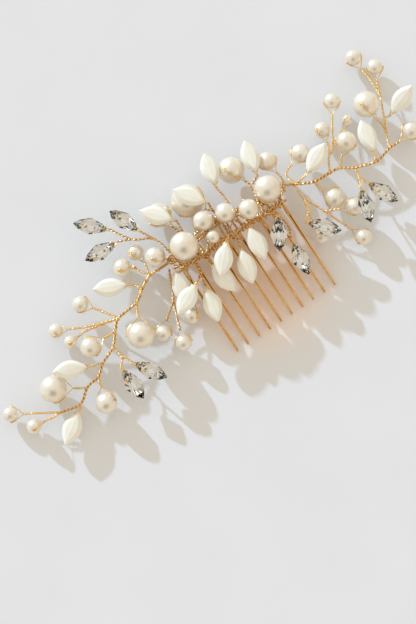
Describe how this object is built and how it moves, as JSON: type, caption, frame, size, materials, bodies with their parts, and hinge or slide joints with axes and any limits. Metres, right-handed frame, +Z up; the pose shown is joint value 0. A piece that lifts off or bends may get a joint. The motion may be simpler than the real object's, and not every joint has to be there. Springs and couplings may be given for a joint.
{
  "type": "hair comb",
  "caption": "Wire hair comb with bendable vine arms that carry drilled pearls, pointed resin leaves and faceted crystals on twisted wire sprigs.",
  "frame": {"origin": "on the surface the comb lies on, under the middle of the ornament's outline", "axes": "+X along the comb's spine towards the shorter arm, +Y away from the teeth, +Z up from the surface, on the display side"},
  "size_m": [0.1926, 0.0726, 0.0209],
  "materials": {
    "comb_wire": "bright gold-plated round wire",
    "vine_wire": "bright gold-plated thin wire, twisted",
    "pearl": "imitation pearl with a soft nacre lustre",
    "leaf": "opaque ivory resin, faceted, satin gloss",
    "crystal": "clear cut crystal, foil-backed sparkle"
  },
  "bodies": {
    "comb": {"comb_spine": "comb_wire", "tooth_wire": "comb_wire", "binding_wire": "vine_wire", "centre_vine_wire": "vine_wire", "centre_leaf_1": "leaf", "centre_leaf_2": "leaf", "centre_leaf_3": "leaf", "centre_leaf_4": "leaf", "centre_leaf_5": "leaf", "centre_leaf_6": "leaf", "centre_leaf_7": "leaf", "centre_leaf_8": "leaf", "centre_leaf_9": "leaf", "centre_leaf_10": "leaf", "centre_leaf_11": "leaf", "centre_crystal_1": "crystal", "centre_crystal_2": "crystal", "centre_crystal_3": "crystal", "centre_crystal_4": "crystal", "centre_crystal_5": "crystal"},
    "left_arm": {"left_vine_wire": "vine_wire", "left_leaf_1": "leaf", "left_leaf_2": "leaf", "left_leaf_3": "leaf", "left_crystal_1": "crystal", "left_crystal_2": "crystal"},
    "right_arm": {"right_vine_wire": "vine_wire", "right_leaf_1": "leaf", "right_leaf_2": "leaf", "right_leaf_3": "leaf", "right_crystal_1": "crystal", "right_crystal_2": "crystal", "right_crystal_3": "crystal"},
    "left_pearl_1": {"left_pearl_1": "pearl"},
    "left_pearl_2": {"left_pearl_2": "pearl"},
    "left_pearl_3": {"left_pearl_3": "pearl"},
    "left_pearl_4": {"left_pearl_4": "pearl"},
    "left_pearl_5": {"left_pearl_5": "pearl"},
    "left_pearl_6": {"left_pearl_6": "pearl"},
    "left_pearl_7": {"left_pearl_7": "pearl"},
    "right_pearl_1": {"right_pearl_1": "pearl"},
    "right_pearl_2": {"right_pearl_2": "pearl"},
    "right_pearl_3": {"right_pearl_3": "pearl"},
    "right_pearl_4": {"right_pearl_4": "pearl"},
    "right_pearl_5": {"right_pearl_5": "pearl"},
    "right_pearl_6": {"right_pearl_6": "pearl"},
    "right_pearl_7": {"right_pearl_7": "pearl"},
    "right_pearl_8": {"right_pearl_8": "pearl"},
    "right_pearl_9": {"right_pearl_9": "pearl"},
    "right_pearl_10": {"right_pearl_10": "pearl"},
    "centre_pearl_1": {"centre_pearl_1": "pearl"},
    "centre_pearl_2": {"centre_pearl_2": "pearl"},
    "centre_pearl_3": {"centre_pearl_3": "pearl"},
    "centre_pearl_4": {"centre_pearl_4": "pearl"},
    "centre_pearl_5": {"centre_pearl_5": "pearl"},
    "centre_pearl_6": {"centre_pearl_6": "pearl"},
    "centre_pearl_7": {"centre_pearl_7": "pearl"},
    "centre_pearl_8": {"centre_pearl_8": "pearl"},
    "centre_pearl_9": {"centre_pearl_9": "pearl"},
    "centre_pearl_10": {"centre_pearl_10": "pearl"}
  },
  "joints": [
    {"name": "bend_left_arm", "type": "hinge", "parent": "comb", "child": "left_arm", "pos_m": [-0.01761, 0.00441, 0.0075], "axis": [0, 1, 0], "range_deg": [0, 35]},
    {"name": "bend_right_arm", "type": "hinge", "parent": "comb", "child": "right_arm", "pos_m": [0.03703, 0.00391, 0.008], "axis": [0, -1, 0], "range_deg": [0, 35]},
    {"name": "spin_centre_pearl_1", "type": "hinge", "parent": "comb", "child": "centre_pearl_1", "pos_m": [-0.01834, 0.0084, 0.0106], "axis": [-0.416, -0.2774, 0.866], "continuous": true},
    {"name": "spin_centre_pearl_2", "type": "hinge", "parent": "comb", "child": "centre_pearl_2", "pos_m": [-0.00784, 0.0049, 0.01561], "axis": [-0.8087, 0.5882, 0], "continuous": true},
    {"name": "spin_centre_pearl_3", "type": "hinge", "parent": "comb", "child": "centre_pearl_3", "pos_m": [-0.00784, 0.02191, 0.0046], "axis": [-0.9793, -0.2026, 0], "continuous": true},
    {"name": "spin_centre_pearl_4", "type": "hinge", "parent": "comb", "child": "centre_pearl_4", "pos_m": [0.00366, 0.0199, 0.00636], "axis": [-0.8858, -0.464, 0], "continuous": true},
    {"name": "spin_centre_pearl_5", "type": "hinge", "parent": "comb", "child": "centre_pearl_5", "pos_m": [0.00316, 0.0089, 0.0141], "axis": [-0.9986, -0.0526, 0], "continuous": true},
    {"name": "spin_centre_pearl_6", "type": "hinge", "parent": "comb", "child": "centre_pearl_6", "pos_m": [0.01141, 0.0069, 0.0141], "axis": [-0.9738, 0.2272, 0], "continuous": true},
    {"name": "spin_centre_pearl_7", "type": "hinge", "parent": "comb", "child": "centre_pearl_7", "pos_m": [0.01916, 0.00291, 0.01511], "axis": [-0.9899, 0.1414, 0], "continuous": true},
    {"name": "spin_centre_pearl_8", "type": "hinge", "parent": "comb", "child": "centre_pearl_8", "pos_m": [0.02916, 0.00541, 0.0146], "axis": [-0.9231, -0.3846, 0], "continuous": true},
    {"name": "spin_centre_pearl_9", "type": "hinge", "parent": "comb", "child": "centre_pearl_9", "pos_m": [0.02366, 0.0204, 0.00611], "axis": [-0.5419, 0.1472, 0.8274], "continuous": true},
    {"name": "spin_centre_pearl_10", "type": "hinge", "parent": "comb", "child": "centre_pearl_10", "pos_m": [0.03666, 0.0159, 0.00511], "axis": [-1, 0, 0], "continuous": true},
    {"name": "spin_left_pearl_1", "type": "hinge", "parent": "left_arm", "child": "left_pearl_1", "pos_m": [-0.03011, 0.0129, 0.005], "axis": [-0.4502, -0.2929, 0.8435], "continuous": true},
    {"name": "spin_left_pearl_2", "type": "hinge", "parent": "left_arm", "child": "left_pearl_2", "pos_m": [-0.05011, 0.0104, 0.0045], "axis": [-0.8, -0.6, 0], "continuous": true},
    {"name": "spin_left_pearl_3", "type": "hinge", "parent": "left_arm", "child": "left_pearl_3", "pos_m": [-0.03861, -0.01209, 0.008], "axis": [0.8944, -0.4472, 0], "continuous": true},
    {"name": "spin_left_pearl_4", "type": "hinge", "parent": "left_arm", "child": "left_pearl_4", "pos_m": [-0.05611, -0.00509, 0.006], "axis": [0, -1, 0], "continuous": true},
    {"name": "spin_left_pearl_5", "type": "hinge", "parent": "left_arm", "child": "left_pearl_5", "pos_m": [-0.06262, -0.02509, 0.0045], "axis": [0.8108, -0.3084, 0.4975], "continuous": true},
    {"name": "spin_left_pearl_6", "type": "hinge", "parent": "left_arm", "child": "left_pearl_6", "pos_m": [-0.07562, -0.01009, 0.005], "axis": [-0.5264, -0.8503, 0], "continuous": true},
    {"name": "spin_left_pearl_7", "type": "hinge", "parent": "left_arm", "child": "left_pearl_7", "pos_m": [-0.09362, -0.0086, 0.00275], "axis": [-0.5421, -0.8403, 0], "continuous": true},
    {"name": "spin_right_pearl_1", "type": "hinge", "parent": "right_arm", "child": "right_pearl_1", "pos_m": [0.04854, 0.01141, 0.005], "axis": [-0.3511, 0.9363, 0], "continuous": true},
    {"name": "spin_right_pearl_2", "type": "hinge", "parent": "right_arm", "child": "right_pearl_2", "pos_m": [0.06503, 0.00541, 0.006], "axis": [-0.6139, 0.7894, 0], "continuous": true},
    {"name": "spin_right_pearl_3", "type": "hinge", "parent": "right_arm", "child": "right_pearl_3", "pos_m": [0.07004, 0.02141, 0.004], "axis": [-0.8192, 0.5735, 0], "continuous": true},
    {"name": "spin_right_pearl_4", "type": "hinge", "parent": "right_arm", "child": "right_pearl_4", "pos_m": [0.07953, 0.0129, 0.0055], "axis": [-0.5, -0.0333, 0.8654], "continuous": true},
    {"name": "spin_right_pearl_5", "type": "hinge", "parent": "right_arm", "child": "right_pearl_5", "pos_m": [0.09104, 0.0234, 0.003], "axis": [-0.9029, 0.4299, 0], "continuous": true},
    {"name": "spin_right_pearl_6", "type": "hinge", "parent": "right_arm", "child": "right_pearl_6", "pos_m": [0.08654, 0.0309, 0.003], "axis": [-0.9996, 0.0278, 0], "continuous": true},
    {"name": "spin_right_pearl_7", "type": "hinge", "parent": "right_arm", "child": "right_pearl_7", "pos_m": [0.08804, -0.0046, 0.0035], "axis": [-0.1414, 0.9899, 0], "continuous": true},
    {"name": "spin_right_pearl_8", "type": "hinge", "parent": "right_arm", "child": "right_pearl_8", "pos_m": [0.04954, -0.00959, 0.004], "axis": [0.8944, 0.4472, 0], "continuous": true},
    {"name": "spin_right_pearl_9", "type": "hinge", "parent": "right_arm", "child": "right_pearl_9", "pos_m": [0.05353, -0.01659, 0.0055], "axis": [0.4299, 0.9029, 0], "continuous": true},
    {"name": "spin_right_pearl_10", "type": "hinge", "parent": "right_arm", "child": "right_pearl_10", "pos_m": [0.05004, -0.0276, 0.003], "axis": [0.9119, 0.4104, 0], "continuous": true}
  ]
}
